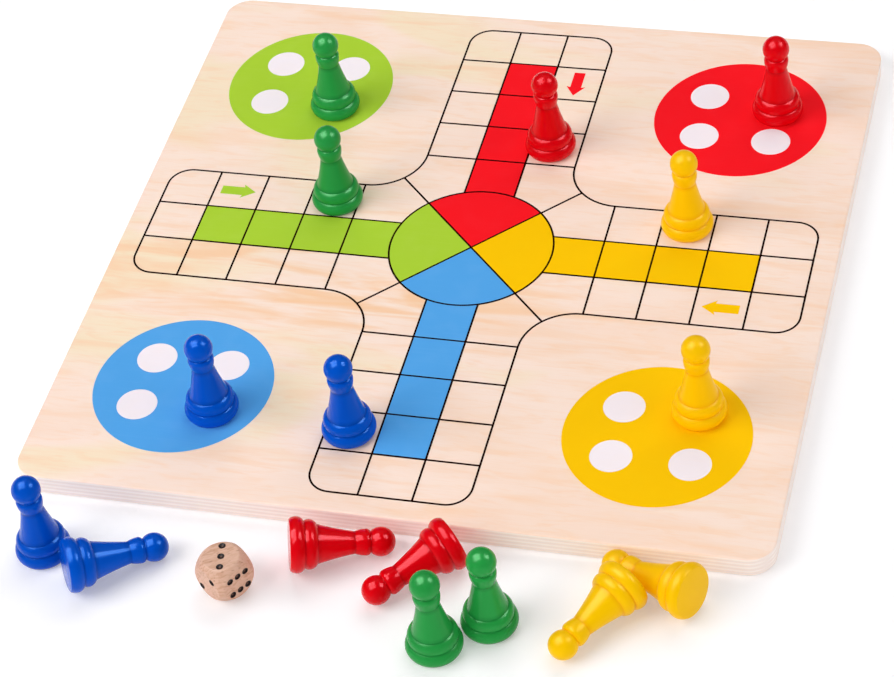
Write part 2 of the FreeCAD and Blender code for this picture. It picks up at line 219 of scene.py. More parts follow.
class ShaderGroups:
    """The effects that several finishes share, each built once as a node group."""

    FIBRE_STRETCH = (1.7, 9.0, 9.0)
    CLOUD_STRETCH = (0.5, 0.2, 0.2)
    SPECK_CORE = 0.35
    BLOTCH_SCALE = 0.12

    def __init__(self) -> None:
        """Build the groups."""
        self.grain = self._build("wood_grain", ["Length", "Width"], self._grain)
        self.specks = self._build("pin_specks", ["Spacing", "Radius", "Share"], self._specks)
        self.skin = self._build("paint_skin", ["Size"], self._skin)

    @staticmethod
    def _build(name: str, numbers: List[str], fill: Callable[[NodeBench, NodeOutputs], Feeds]) -> NodeTree:
        """Build one group.

        Args:
            name: The group's name.
            numbers: Names of the inputs that follow its vector, all numbers.
            fill: Adds the nodes, from the inputs, and gives what goes to the outputs, all numbers.

        Returns:
            The group.
        """
        group = bpy.data.node_groups.new(name, "ShaderNodeTree")
        group.interface.new_socket(name="Vector", in_out="INPUT", socket_type="NodeSocketVector")
        for number in numbers:
            group.interface.new_socket(name=number, in_out="INPUT", socket_type="NodeSocketFloat")
        bench = NodeBench(group)
        results = fill(bench, bench.add("NodeGroupInput"))
        for result in results:
            group.interface.new_socket(name=result, in_out="OUTPUT", socket_type="NodeSocketFloat")
        bench.add("NodeGroupOutput", results)
        return group

    def _grain(self, bench: NodeBench, given: NodeOutputs) -> Feeds:
        """Soft bands, fine fibres and large clouds, all drawn out along X.

        Args:
            bench: The group's bench.
            given: The group's inputs.

        Returns:
            The three, from 0 to 1.
        """
        length, width = given["Length"], given["Width"]
        spans = bench.add("ShaderNodeCombineXYZ", {0: length, 1: width, 2: width})[0]
        drawn = bench.vector("DIVIDE", given["Vector"], spans)
        fibres = bench.vector("MULTIPLY", drawn, self.FIBRE_STRETCH)
        clouds = bench.vector("MULTIPLY", drawn, self.CLOUD_STRETCH)
        return {
            "Bands": bench.noise(drawn, scale=1.0, detail=4.0, wander=0.9),
            "Fibres": bench.noise(fibres, scale=1.0, detail=2.0, wander=0.3),
            "Clouds": bench.noise(clouds, scale=1.0, detail=2.0, wander=0.8),
        }

    def _specks(self, bench: NodeBench, given: NodeOutputs) -> Feeds:
        """Small round marks, one in a share of the cells of a random grid.

        Args:
            bench: The group's bench.
            given: The group's inputs.

        Returns:
            The mask, 1 in the marks.
        """
        per_metre = bench.calc("DIVIDE", 1.0, given["Spacing"])
        cells = bench.add("ShaderNodeTexVoronoi", {"Vector": given["Vector"], "Scale": per_metre})
        draw = bench.add("ShaderNodeSeparateColor", {0: cells["Color"]})[0]
        chosen = bench.calc("LESS_THAN", draw, given["Share"])
        reach = bench.calc("DIVIDE", given["Radius"], given["Spacing"])
        core = bench.calc("MULTIPLY", reach, self.SPECK_CORE)
        dot = bench.rise(cells["Distance"], Step(reach, core))
        return {"Mask": bench.calc("MULTIPLY", chosen, dot)}

    def _skin(self, bench: NodeBench, given: NodeOutputs) -> Feeds:
        """The slightly wavy skin of brushed paint, and broad soft blotches.

        Args:
            bench: The group's bench.
            given: The group's inputs.

        Returns:
            The two, from 0 to 1.
        """
        per_metre = bench.calc("DIVIDE", 1.0, given["Size"])
        broad = bench.calc("MULTIPLY", per_metre, self.BLOTCH_SCALE)
        return {
            "Height": bench.noise(given["Vector"], per_metre, detail=2.0),
            "Blotch": bench.noise(given["Vector"], broad, detail=1.0),
        }


def new_material(name: str) -> Tuple[Material, NodeBench, Node]:
    """Start a material with its Principled shader.

    Args:
        name: The material's name.

    Returns:
        The material, a bench for its nodes and the shader node.
    """
    material = bpy.data.materials.new(name)
    material.use_nodes = True
    return material, NodeBench(material.node_tree), material.node_tree.nodes["Principled BSDF"]


class Look(NamedTuple):
    """What a finish works out for its shader: the colour, what sways the gloss, and the height."""

    colour: NodeSocket
    gloss: NodeSocket
    height: NodeSocket


@dataclass(frozen=True, kw_only=True)
class Finish:
    """What all finishes have: a slot, a roughness that sways about its middle, a relief and a shine."""

    slot: str
    roughness: float
    rough_step: Step = Step(0.2, 0.8, 0.1)
    relief: Relief
    specular: float
    shine: Tone = WHITE

    def look(self, bench: NodeBench, groups: ShaderGroups) -> Look:
        """Add the nodes that are this finish's own."""
        raise NotImplementedError

    def material(self, groups: ShaderGroups) -> Material:
        """Make the finish's material.

        Args:
            groups: The shared effects.

        Returns:
            The material.
        """
        material, bench, shader = new_material(self.slot)
        look = self.look(bench, groups)
        feeds = {
            "Base Color": look.colour,
            "Roughness": bench.sway(look.gloss, self.rough_step, self.roughness),
            "Normal": bench.bump(look.height, self.relief),
            "Specular IOR Level": self.specular,
            "Specular Tint": (*self.shine, 1.0),
        }
        bench.feed(shader, feeds)
        return material


@dataclass(frozen=True, kw_only=True)
class VeneerFinish(Finish):
    """Pale sanded veneer: streaked on its face, plainer and pinker on its sawn sides."""

    run: GrainRun
    side: Tone
    end_grain: Tone
    pale: Tone = tone(254, 229, 214)
    honey: Tone = tone(250, 229, 200)
    warm: Tone = tone(250, 204, 163)
    blush: Tone = tone(252, 223, 205)
    speck: Tone = tone(176, 122, 84)
    honey_step: Step = Step(0.48, 0.30)
    blush_step: Step = Step(0.50, 0.68)
    sunned: Triple = (-0.75, 0.2, 0.0)
    streak_length: float = 62 * MM
    streak_width: float = 8.5 * MM
    streak_step: Step = Step(0.48, 0.72)
    heart: Triple = (-58 * MM, -30 * MM, 0.0)
    heart_reach: Point = (120 * MM, 28 * MM)
    heart_step: Step = Step(1.3, 0.3)
    heart_lift: float = 0.08
    outer_streaks: float = 0.4
    mottle_length: float = 15 * MM
    mottle_width: float = 2.6 * MM
    mottle_step: Step = Step(0.46, 0.78, 0.4)
    fibre_step: Step = Step(0.48, 0.85, 0.3)
    speck_share: float = 0.0
    speck_spacing: float = 24 * MM
    speck_radius: float = 0.55 * MM
    speck_stretch: Triple = (0.6, 1.0, 1.0)
    end_step: Step = Step(0.35, 0.85)
    sawn_fibre_step: Step = Step(0.35, 0.8, 0.35)
    face_step: Step = Step(0.25, 0.8)
    roughness: float = 0.5
    rough_step: Step = Step(0.2, 0.9, 0.14)
    relief: Relief = Relief(0.06 * MM, 0.5)
    specular: float = 0.12

    def look(self, bench: NodeBench, groups: ShaderGroups) -> Look:
        """Tell the face from the sawn sides, which show end grain where they face along the grain.

        Args:
            bench: The material's bench.
            groups: The shared effects.

        Returns:
            The colour, and the fibres as gloss and height.
        """
        place = bench.add("ShaderNodeTexCoord")
        quarter = (0.0, 0.0, -math.pi / 2 * self.run.value)
        along = bench.turned(place["Object"], quarter)
        outward = bench.add("ShaderNodeSeparateXYZ", {0: bench.turned(place["Normal"], quarter)})
        grain = bench.effect(groups.grain, Vector=along, Length=self.streak_length, Width=self.streak_width)
        face = self.face(bench, groups, along, grain)
        across = bench.rise(bench.calc("ABSOLUTE", outward[0]), self.end_step)
        sawn = bench.mix(across, self.side, self.end_grain)
        sawn = bench.mix(bench.rise(grain["Fibres"], self.sawn_fibre_step), sawn, self.end_grain)
        flat = bench.rise(bench.calc("ABSOLUTE", outward[2]), self.face_step)
        return Look(bench.mix(flat, sawn, face), grain["Fibres"], grain["Fibres"])

    def face(
        self, bench: NodeBench, groups: ShaderGroups, along: NodeSocket, grain: NodeOutputs
    ) -> NodeSocket:
        """Mix the face: clouds of pale tones, then streaks, fine mottle and a few specks.

        Args:
            bench: The material's bench.
            groups: The shared effects.
            along: The place on the board, with X along the grain.
            grain: The grain of the streaks.

        Returns:
            The colour's socket.
        """
        mottle = bench.effect(groups.grain, Vector=along, Length=self.mottle_length, Width=self.mottle_width)
        specks = bench.effect(
            groups.specks, Vector=bench.vector("MULTIPLY", along, self.speck_stretch),
            Spacing=self.speck_spacing, Radius=self.speck_radius, Share=self.speck_share,
        )
        clouds = bench.calc("SUBTRACT", grain["Clouds"], bench.measure("DOT_PRODUCT", along, self.sunned))
        heart = self.heart_zone(bench, along)
        bands = bench.calc("ADD", grain["Bands"], bench.calc("MULTIPLY", heart, self.heart_lift))
        strength = bench.between(heart, self.outer_streaks, 1.0)
        streaks = bench.calc("MULTIPLY", bench.rise(bands, self.streak_step), strength)
        colour = bench.mix(bench.rise(clouds, self.honey_step), self.pale, self.honey)
        colour = bench.mix(bench.rise(clouds, self.blush_step), colour, self.blush)
        colour = bench.mix(streaks, colour, self.warm)
        colour = bench.mix(bench.rise(mottle["Bands"], self.mottle_step), colour, self.warm)
        colour = bench.mix(bench.rise(mottle["Fibres"], self.fibre_step), colour, self.warm)
        return bench.mix(specks["Mask"], colour, self.speck)

    def heart_zone(self, bench: NodeBench, along: NodeSocket) -> NodeSocket:
        """The soft zone round the log's heart, where the streaks are strongest.

        Args:
            bench: The material's bench.
            along: The place on the board, with X along the grain.

        Returns:
            The zone's socket, 1 in its middle and 0 outside.
        """
        reach = (1 / self.heart_reach[0], 1 / self.heart_reach[1], 0.0)
        off = bench.vector("MULTIPLY", bench.vector("SUBTRACT", along, self.heart), reach)
        return bench.rise(bench.measure("LENGTH", off), self.heart_step)


@dataclass(frozen=True, kw_only=True)
class InkFinish(Finish):
    """Printed ink, thin enough to follow the veneer's fibres."""

    ink: Tone
    thin: Tone
    fibre_length: float = 34 * MM
    fibre_width: float = 4.2 * MM
    fibre_step: Step = Step(0.5, 0.85, 0.35)
    skin_size: float = 1.1 * MM
    blotch_step: Step = Step(0.45, 0.75, 0.25)
    roughness: float = 0.45
    relief: Relief = Relief(0.04 * MM, 0.4)
    specular: float = 0.015

    def look(self, bench: NodeBench, groups: ShaderGroups) -> Look:
        """Thin the ink along the fibres and in blotches.

        Args:
            bench: The material's bench.
            groups: The shared effects.

        Returns:
            The colour, the skin as gloss and the fibres as height.
        """
        place = bench.add("ShaderNodeTexCoord")["Object"]
        grain = bench.effect(groups.grain, Vector=place, Length=self.fibre_length, Width=self.fibre_width)
        skin = bench.effect(groups.skin, Vector=place, Size=self.skin_size)
        colour = bench.mix(bench.rise(grain["Fibres"], self.fibre_step), self.ink, self.thin)
        colour = bench.mix(bench.rise(skin["Blotch"], self.blotch_step), colour, self.thin)
        return Look(colour, skin["Height"], grain["Fibres"])


@dataclass(frozen=True, kw_only=True)
class GlossPaint(Finish):
    """Opaque gloss paint over turned wood, deeper in colour in soft blotches, with painted shade in its
    grooves.
    """

    paint: Tone
    # Deeper tone of the random blotches, also used as the painted shade in the grooves.
    blotch_and_groove_shade: Tone
    skin_size: float = 1.3 * MM
    blotch_step: Step = Step(0.35, 0.75, 0.22)
    # How strong the painted shade is at a groove.
    groove_shade_share: float = 0.75
    fibre_length: float = 14 * MM
    fibre_width: float = 1.6 * MM
    fibre_share: float = 0.5
    roughness: float = 0.18
    rough_step: Step = Step(0.2, 0.8, 0.08)
    relief: Relief = Relief(0.05 * MM, 0.35)
    specular: float = 0.25

    def look(self, bench: NodeBench, groups: ShaderGroups) -> Look:
        """Deepen the paint in blotches, and paint shade into the grooves, over fibres that stand upright in
        the pawn.

        Args:
            bench: The material's bench.
            groups: The shared effects.

        Returns:
            The colour, the blotches as gloss, and the fibres and the skin as height.
        """
        place = bench.add("ShaderNodeAttribute", attribute_name=PawnTurner.PLACE)["Vector"]
        groove_shade = bench.add("ShaderNodeAttribute", attribute_name=PawnTurner.GROOVE_SHADE)["Fac"]
        skin = bench.effect(groups.skin, Vector=place, Size=self.skin_size)
        upright = bench.turned(place, (0.0, math.pi / 2, 0.0))
        grain = bench.effect(groups.grain, Vector=upright, Length=self.fibre_length, Width=self.fibre_width)
        colour = bench.mix(bench.rise(skin["Blotch"], self.blotch_step), self.paint, self.blotch_and_groove_shade)
        # Painted shade: the paint darkens towards the grooves, where shade falls.
        colour = bench.mix(bench.calc("MULTIPLY", groove_shade, self.groove_shade_share), colour, self.blotch_and_groove_shade)
        fibres = bench.calc("MULTIPLY", grain["Bands"], self.fibre_share)
        return Look(colour, skin["Blotch"], bench.calc("ADD", fibres, skin["Height"]))


@dataclass(frozen=True, kw_only=True)
class BeechFinish(Finish):
    """Waxed beech: pinkish tan with growth rings and short brown flecks, set on a centre."""

    centre: Sequence[float]
    slot: str = "die_wood"
    pale: Tone = tone(221, 178, 155)
    ring: Tone = tone(204, 156, 129)
    fleck: Tone = tone(158, 106, 82)
    lean: Triple = (0.35, 0.2, 0.6)
    ring_length: float = 9 * MM
    ring_width: float = 1.3 * MM
    ring_step: Step = Step(0.42, 0.68)
    fleck_share: float = 0.45
    fleck_spacing: float = 0.9 * MM
    fleck_radius: float = 0.3 * MM
    fleck_stretch: Triple = (0.28, 1.0, 1.0)
    fleck_strength: float = 0.55
    roughness: float = 0.42
    relief: Relief = Relief(0.05 * MM, 0.5)
    specular: float = 0.15

    def look(self, bench: NodeBench, groups: ShaderGroups) -> Look:
        """Mix the rings and the flecks, with a grain that leans in the block.

        Args:
            bench: The material's bench.
            groups: The shared effects.

        Returns:
            The colour, and the fibres as gloss and height.
        """
        place = bench.add("ShaderNodeTexCoord")["Object"]
        seat = {"Vector": place, "Location": self.centre, "Rotation": self.lean}
        local = bench.add("ShaderNodeMapping", seat, vector_type="TEXTURE")[0]
        grain = bench.effect(groups.grain, Vector=local, Length=self.ring_length, Width=self.ring_width)
        flecks = bench.effect(
            groups.specks, Vector=bench.vector("MULTIPLY", local, self.fleck_stretch),
            Spacing=self.fleck_spacing, Radius=self.fleck_radius, Share=self.fleck_share,
        )
        colour = bench.mix(bench.rise(grain["Bands"], self.ring_step), self.pale, self.ring)
        colour = bench.mix(bench.calc("MULTIPLY", flecks["Mask"], self.fleck_strength), colour, self.fleck)
        return Look(colour, grain["Fibres"], grain["Fibres"])


@dataclass(frozen=True, kw_only=True)
class PipFinish(Finish):
    """Black paint in the die's dimples, thin and brownish in the middle of each."""

    slot: str = "pip_paint"
    paint: Tone = tone(24, 14, 14)
    thin: Tone = tone(104, 72, 62)
    skin_size: float = 0.5 * MM
    uneven_step: Step = Step(0.2, 0.8, 0.2)
    thin_step: Step = Step(0.6, 1.0)
    roughness: float = 0.4
    relief: Relief = Relief(0.03 * MM, 0.4)
    specular: float = 0.12

    def look(self, bench: NodeBench, groups: ShaderGroups) -> Look:
        """Thin the paint unevenly towards the middle of a dimple.

        Args:
            bench: The material's bench.
            groups: The shared effects.

        Returns:
            The colour, and the skin as gloss and height.
        """
        place = bench.add("ShaderNodeTexCoord")["Object"]
        skin = bench.effect(groups.skin, Vector=place, Size=self.skin_size)
        middle = bench.add("ShaderNodeAttribute", attribute_name=Die.MIDDLE)["Fac"]
        uneven = bench.calc("ADD", middle, bench.rise(skin["Blotch"], self.uneven_step))
        colour = bench.mix(bench.rise(uneven, self.thin_step), self.paint, self.thin)
        return Look(colour, skin["Height"], skin["Height"])


def dress(piece: Object, material: Material) -> None:
    """Give a piece one material all over.

    Args:
        piece: The piece or solid.
        material: Its material.
    """
    if not piece.material_slots:
        piece.data.materials.append(material)
    for material_slot in piece.material_slots:
        material_slot.material = material


def named(piece: Object, name: str) -> Object:
    """Name a piece and its mesh alike.

    Args:
        piece: The piece.
        name: The name of both.

    Returns:
        The piece.
    """
    piece.name = name
    piece.data.name = name
    return piece


def copy_shape(shape: Object, place: Matrix) -> Object:
    """Copy a shape, with a mesh of its own, to a place.

    Args:
        shape: The shape, modelled on the origin.
        place: The matrix that takes its mesh to the place.

    Returns:
        The copy.
    """
    copy = shape.copy()
    copy.data = shape.data.copy()
    bpy.context.scene.collection.objects.link(copy)
    copy.data.transform(place)
    return copy


def clear_selection() -> None:
    """Deselect everything, so that an operator acts only on what is chosen next."""
    if bpy.context.mode != "OBJECT":
        bpy.ops.object.mode_set(mode="OBJECT")
    bpy.ops.object.select_all(action="DESELECT")


def choose(piece: Object) -> None:
    """Select one piece alone and make it active.

    Args:
        piece: The piece.
    """
    clear_selection()
    piece.select_set(True)
    bpy.context.view_layer.objects.active = piece


def select_edges(piece: Object, wanted: Callable[[Vector, Vector], bool]) -> None:
    """Select the edges of the piece in edit mode that pass a test.

    Args:
        piece: The piece being edited.
        wanted: A function of the edge's two corner points that says yes or no.
    """
    bpy.ops.mesh.select_mode(type="EDGE")
    bpy.ops.mesh.select_all(action="DESELECT")
    for edge in bmesh.from_edit_mesh(piece.data).edges:
        if wanted(edge.verts[0].co, edge.verts[1].co):
            edge.select_set(True)
    bmesh.update_edit_mesh(piece.data)


def apply_modifier(piece: Object, kind: str, **settings: object) -> None:
    """Add a modifier to a piece and apply it.

    Args:
        piece: The piece.
        kind: Blender's name of the modifier type.
        settings: The modifier's own properties.
    """
    choose(piece)
    modifier = piece.modifiers.new(kind.lower(), kind)
    for name, value in settings.items():
        setattr(modifier, name, value)
    bpy.ops.object.modifier_apply(modifier=modifier.name)


def smooth(piece: Object, below: float) -> None:
    """Shade a piece smooth, but for the edges where its faces turn by more than an angle in degrees."""
    choose(piece)
    bpy.ops.object.shade_smooth_by_angle(angle=math.radians(below))


def hand_over(piece: Object, body: str, node: str) -> None:
    """Let a piece stand for its solid, which is hidden, and ride on its body.

    Args:
        piece: The finished piece.
        body: The body that it moves with.
        node: The solid that it stands for.
    """
    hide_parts(node)
    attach(piece, body)
    LOG.info("%s stands for %s on %s, %d faces", piece.name, node, body, len(piece.data.polygons))


@dataclass
class Board:
    """The plywood board: its veneers, modelled one by one, and the ink on its face."""

    groups: ShaderGroups
    nodes: Dict[str, Object]
    body: str = "board"
    ply_count: int = 9
    corner_radius: float = 10 * MM
    corner_steps: int = 20
    sanded_edge: float = 0.7 * MM
    sanded_steps: int = 5
    glue_line: float = 0.05 * MM
    smooth_below: float = 40.0

    @staticmethod
    def veneers() -> List[VeneerFinish]:
        """The three veneer finishes.

        Returns:
            That of the outer veneers, and those of the inner ones that run with them and across them.
        """
        return [
            VeneerFinish(
                slot="veneer_face", run=GrainRun.LENGTHWISE, speck_share=0.05,
                side=tone(254, 243, 236), end_grain=tone(247, 232, 224),
            ),
            VeneerFinish(
                slot="veneer_long", run=GrainRun.LENGTHWISE,
                side=tone(254, 243, 237), end_grain=tone(246, 231, 224),
            ),
            VeneerFinish(
                slot="veneer_cross", run=GrainRun.CROSSWISE,
                side=tone(254, 243, 237), end_grain=tone(245, 230, 223),
            ),
        ]

    @staticmethod
    def inks() -> List[InkFinish]:
        """The six inks of the print.

        Returns:
            Their finishes.
        """
        return [
            InkFinish(slot="ink_lines", ink=tone(26, 3, 0), thin=tone(44, 12, 2), specular=0.006),
            InkFinish(slot="ink_yellow", ink=tone(255, 199, 0), thin=tone(255, 203, 4)),
            InkFinish(slot="ink_red", ink=tone(252, 22, 34), thin=tone(254, 36, 46)),
            InkFinish(slot="ink_green", ink=tone(172, 210, 56), thin=tone(180, 214, 74)),
            InkFinish(slot="ink_blue", ink=tone(84, 166, 234), thin=tone(100, 174, 238)),
            InkFinish(slot="ink_white", ink=tone(250, 240, 246), thin=tone(252, 238, 238)),
        ]

    def slot_of(self, number: int) -> str:
        """The slot of a veneer.

        Args:
            number: Its place in the stack, counted from the printed face.

        Returns:
            The slot's name.
        """
        if number in (1, self.ply_count):
            return "veneer_face"
        return "veneer_cross" if number % 2 == 0 else "veneer_long"

    def build(self) -> None:
        """Model and dress the veneers, and dress the print."""
        materials = {finish.slot: finish.material(self.groups) for finish in self.veneers()}
        for number in range(1, self.ply_count + 1):
            node = f"board_ply_{number}"
            slot = self.slot_of(number)
            ply = self.veneer(node, number)
            dress(ply, materials[slot])
            hand_over(ply, self.body, node)
        for ink in self.inks():
            film = self.nodes[ink.slot.replace("ink_", "print_")]
            dress(film, ink.material(self.groups))
            LOG.info("%s has its ink", film.name)

    def veneer(self, node: str, number: int) -> Object:
        """Model one veneer as a thin plate with round corners.

        Args:
            node: The solid that it stands for.
            number: Its place in the stack, counted from the printed face.

        Returns:
            The veneer.
        """
        low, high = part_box(node)
        thickness = high.z - low.z
        near = thickness / 100
        clear_selection()
        bpy.ops.mesh.primitive_cube_add(size=1, location=(low + high) / 2, scale=high - low)
        ply = named(bpy.context.active_object, f"veneer_{number}")
        bpy.ops.object.transform_apply(location=True, rotation=True, scale=True)
        bpy.ops.object.mode_set(mode="EDIT")
        select_edges(ply, lambda a, b: abs(a.z - b.z) > thickness / 2)
        bpy.ops.mesh.bevel(offset=self.corner_radius, segments=self.corner_steps, affect="EDGES")
        for level, outer in ((high.z, number == 1), (low.z, number == self.ply_count)):
            select_edges(ply, lambda a, b: max(abs(a.z - level), abs(b.z - level)) < near)
            width = self.sanded_edge if outer else self.glue_line
            steps = self.sanded_steps if outer else 1
            bpy.ops.mesh.bevel(offset=width, segments=steps, affect="EDGES")
        bpy.ops.object.mode_set(mode="OBJECT")
        smooth(ply, self.smooth_below)
        apply_modifier(ply, "WEIGHTED_NORMAL", keep_sharp=True)
        return ply


@dataclass
class PawnTurner:
    """The sixteen pawns, turned once from a disc by extruding ring on ring, then copied to their places."""

    groups: ShaderGroups
    nodes: Dict[str, Object]
    foot_round: float = 0.35 * MM
    foot_flare: float = 0.105 * MM
    foot_radius: float = 9.3 * MM
    flange_radius: float = 10.1 * MM
    flange_height: float = 5.3 * MM
    flange_bulge_height: float = 2.5 * MM
    groove_radius: float = 8.5 * MM
    bead_radius: float = 8.9 * MM
    bead_height: float = 4.5 * MM
    bead_bulge_height: float = 1.6 * MM
    body_foot_radius: float = 7.1 * MM
    body_top_radius: float = 4.0 * MM
    body_height: float = 13.2 * MM
    body_hollow: float = 0.2 * MM
    collar_radius: float = 4.75 * MM
    collar_flare_height: float = 3.6 * MM
    collar_flare_swell: float = 0.15 * MM
    collar_round_height: float = 2.0 * MM
    collar_round_swell: float = 0.36 * MM
    neck_radius: float = 3.8 * MM
    ball_radius: float = 5.25 * MM
    sides: int = 96
    foot_steps: int = 3
    bulge_steps: int = 14
    body_steps: int = 8
    collar_steps: int = 7
    ball_steps: int = 30
    crease_width: float = 0.22 * MM
    crease_steps: int = 3
    ring_tolerance: float = 0.01 * MM
    smooth_below: float = 50.0
    # How far the painted shade reaches from a groove.
    groove_shade_reach: float = 0.55 * MM
    count_per_colour: int = 4
    copy_turn: float = 137.5
    pattern_step: float = 60 * MM

    PLACE = "turned_place"
    GROOVE_SHADE = "painted_groove_shade"
    NORMAL_DIGITS = 2

    @staticmethod
    def paints() -> Dict[PawnColour, GlossPaint]:
        """The four gloss paints.

        Returns:
            Their finishes, by colour.
        """
        return {
            PawnColour.GREEN: GlossPaint(
                slot="paint_green", paint=tone(35, 150, 65), blotch_and_groove_shade=tone(14, 109, 45),
                shine=(0.5, 0.9, 0.6), roughness=0.26,
            ),
            PawnColour.RED: GlossPaint(
                slot="paint_red", paint=tone(222, 1, 14), blotch_and_groove_shade=tone(173, 0, 8), shine=(1.0, 0.3, 0.36),
            ),
            PawnColour.BLUE: GlossPaint(
                slot="paint_blue", paint=tone(0, 80, 197), blotch_and_groove_shade=tone(0, 54, 146), shine=(0.16, 0.46, 1.0),
            ),
            PawnColour.YELLOW: GlossPaint(
                slot="paint_yellow", paint=tone(250, 196, 0), blotch_and_groove_shade=tone(238, 160, 0),
                shine=(1.0, 0.85, 0.35), roughness=0.3, specular=0.14,
            ),
        }

    @staticmethod
    def arc(start: Point, through: Point, end: Point, steps: int) -> List[Point]:
        """Points of a circle's arc, without its start.

        Args:
            start: First point, as radius and height.
            through: A point that the arc passes.
            end: Last point.
            steps: How many points to give.

        Returns:
            The points, ending with the last one.
        """
        ax, ay = through[0] - start[0], through[1] - start[1]
        bx, by = end[0] - start[0], end[1] - start[1]
        cross = 2 * (ax * by - ay * bx)
        a_square, b_square = ax * ax + ay * ay, bx * bx + by * by
        cx = start[0] + (by * a_square - ay * b_square) / cross
        cy = start[1] + (ax * b_square - bx * a_square) / cross
        radius = math.hypot(start[0] - cx, start[1] - cy)
        first = math.atan2(start[1] - cy, start[0] - cx)
        sweep = (math.atan2(end[1] - cy, end[0] - cx) - first) % (2 * math.pi)
        if cross < 0:
            sweep -= 2 * math.pi
        turns = [first + sweep * (step + 1) / steps for step in range(steps)]
        return [(cx + radius * math.cos(turn), cy + radius * math.sin(turn)) for turn in turns]

    @classmethod
    def swelling(cls, start: Point, end: Point, swell: float, steps: int) -> List[Point]:
        """Points of an arc that swells outwards between two points, without its start.

        Args:
            start: First point, as radius and height.
            end: Last point.
            swell: How far its middle stands out from the straight line.
            steps: How many points to give.

        Returns:
            The points, ending with the last one.
        """
        chord = (end[0] - start[0], end[1] - start[1])
        length = math.hypot(*chord)
        middle = (
            (start[0] + end[0]) / 2 + chord[1] / length * swell,
            (start[1] + end[1]) / 2 - chord[0] / length * swell,
        )
        return cls.arc(start, middle, end, steps)

    def ball_centre(self) -> float:
        """Height of the ball's centre above the foot.

        Returns:
            The height.
        """
        neck = self.flange_height + self.bead_height + self.body_height
        neck += self.collar_flare_height + self.collar_round_height
        return neck + math.sqrt(self.ball_radius ** 2 - self.neck_radius ** 2)

    def height(self) -> float:
        """Height of the whole pawn."""
        return self.ball_centre() + self.ball_radius

    def profile(self) -> Tuple[List[Point], List[Point]]:
        """The rings of the pawn from the edge of its foot to just under its top, and its grooves.

        Returns:
            The rings as radius and height, and the rings that are creases between two forms.
        """
        sole = (self.foot_radius - self.foot_round, 0.0)
        heel = (self.foot_radius + self.foot_flare, self.foot_round)
        flange = (self.flange_radius, self.flange_bulge_height)
        groove = (self.groove_radius, self.flange_height)
        bead = (self.bead_radius, self.flange_height + self.bead_bulge_height)
        body_foot = (self.body_foot_radius, self.flange_height + self.bead_height)
        body_top = (self.body_top_radius, body_foot[1] + self.body_height)
        rim = (self.collar_radius, body_top[1] + self.collar_flare_height)
        neck = (self.neck_radius, rim[1] + self.collar_round_height)
        equator = (self.ball_radius, self.ball_centre())
        pole = (0.0, self.height())
        rings = [sole]
        rings += self.swelling(sole, heel, self.foot_flare, self.foot_steps)
        rings += self.arc(heel, flange, groove, self.bulge_steps)
        rings += self.arc(groove, bead, body_foot, self.bulge_steps)
        rings += self.swelling(body_foot, body_top, -self.body_hollow, self.body_steps)
        rings += self.swelling(body_top, rim, self.collar_flare_swell, self.collar_steps)
        rings += self.swelling(rim, neck, self.collar_round_swell, self.collar_steps)
        rings += self.arc(neck, equator, pole, self.ball_steps)[:-1]
        return rings, [groove, body_foot, body_top, neck]

    def turn(self) -> Object:
        """Turn the pawn, standing on the origin.

        Returns:
            The finished shape, with its own place and its painted groove shade kept as attributes.
        """
        rings, creases = self.profile()
        clear_selection()
        bpy.ops.mesh.primitive_circle_add(vertices=self.sides, radius=rings[0][0], fill_type="NGON")
        pawn = named(bpy.context.active_object, "pawn_pattern")
        bpy.ops.object.mode_set(mode="EDIT")
        bpy.ops.mesh.select_all(action="SELECT")
        for (old_radius, old_height), (radius, height) in zip(rings, rings[1:]):
            rise = (0, 0, height - old_height)
            bpy.ops.mesh.extrude_region_move(TRANSFORM_OT_translate={"value": rise})
            share = radius / old_radius
            bpy.ops.transform.resize(value=(share, share, 1), center_override=(0, 0, height))
        bpy.ops.mesh.merge(type="CENTER")
        bpy.ops.transform.translate(value=(0, 0, self.height() - rings[-1][1]))
        for ring in creases:
            select_edges(pawn, lambda a, b: max(self.gap(a, ring), self.gap(b, ring)) < self.ring_tolerance)
            bpy.ops.mesh.bevel(offset=self.crease_width, segments=self.crease_steps, affect="EDGES")
        bpy.ops.mesh.select_all(action="SELECT")
        bpy.ops.mesh.normals_make_consistent(inside=False)
        bpy.ops.object.mode_set(mode="OBJECT")
        smooth(pawn, self.smooth_below)
        self.mark(pawn, creases)
        return pawn

    @staticmethod
    def gap(corner: Vector, ring: Point) -> float:
        """How far a corner lies from a ring of the profile."""
        return math.hypot(math.hypot(corner.x, corner.y) - ring[0], corner.z - ring[1])

    def mark(self, pawn: Object, creases: List[Point]) -> None:
        """Keep each corner's place on the standing pawn, and how much painted shade it gets from the nearest
        groove.

        Args:
            pawn: The turned shape.
            creases: The grooves, as radius and height.
        """
        place = pawn.data.attributes.new(self.PLACE, "FLOAT_VECTOR", "POINT")
        groove_shade = pawn.data.attributes.new(self.GROOVE_SHADE, "FLOAT", "POINT")
        for corner in pawn.data.vertices:
            away = min(self.gap(corner.co, ring) for ring in creases)
            place.data[corner.index].vector = corner.co
            # Painted shade: full at a groove, gone at the reach.
            groove_shade.data[corner.index].value = max(0.0, 1.0 - away / self.groove_shade_reach)

    @classmethod
    def seat(cls, solid: Object) -> Matrix:
        """Where a pawn's solid stands or lies, from its flat foot.

        Args:
            solid: The pawn's solid.

        Returns:
            The matrix that takes the standing pattern to that place.
        """
        flats: Dict[Tuple[float, ...], List[MeshPolygon]] = {}
        for facet in solid.data.polygons:
            normal = tuple(round(value, cls.NORMAL_DIGITS) for value in facet.normal)
            flats.setdefault(normal, []).append(facet)
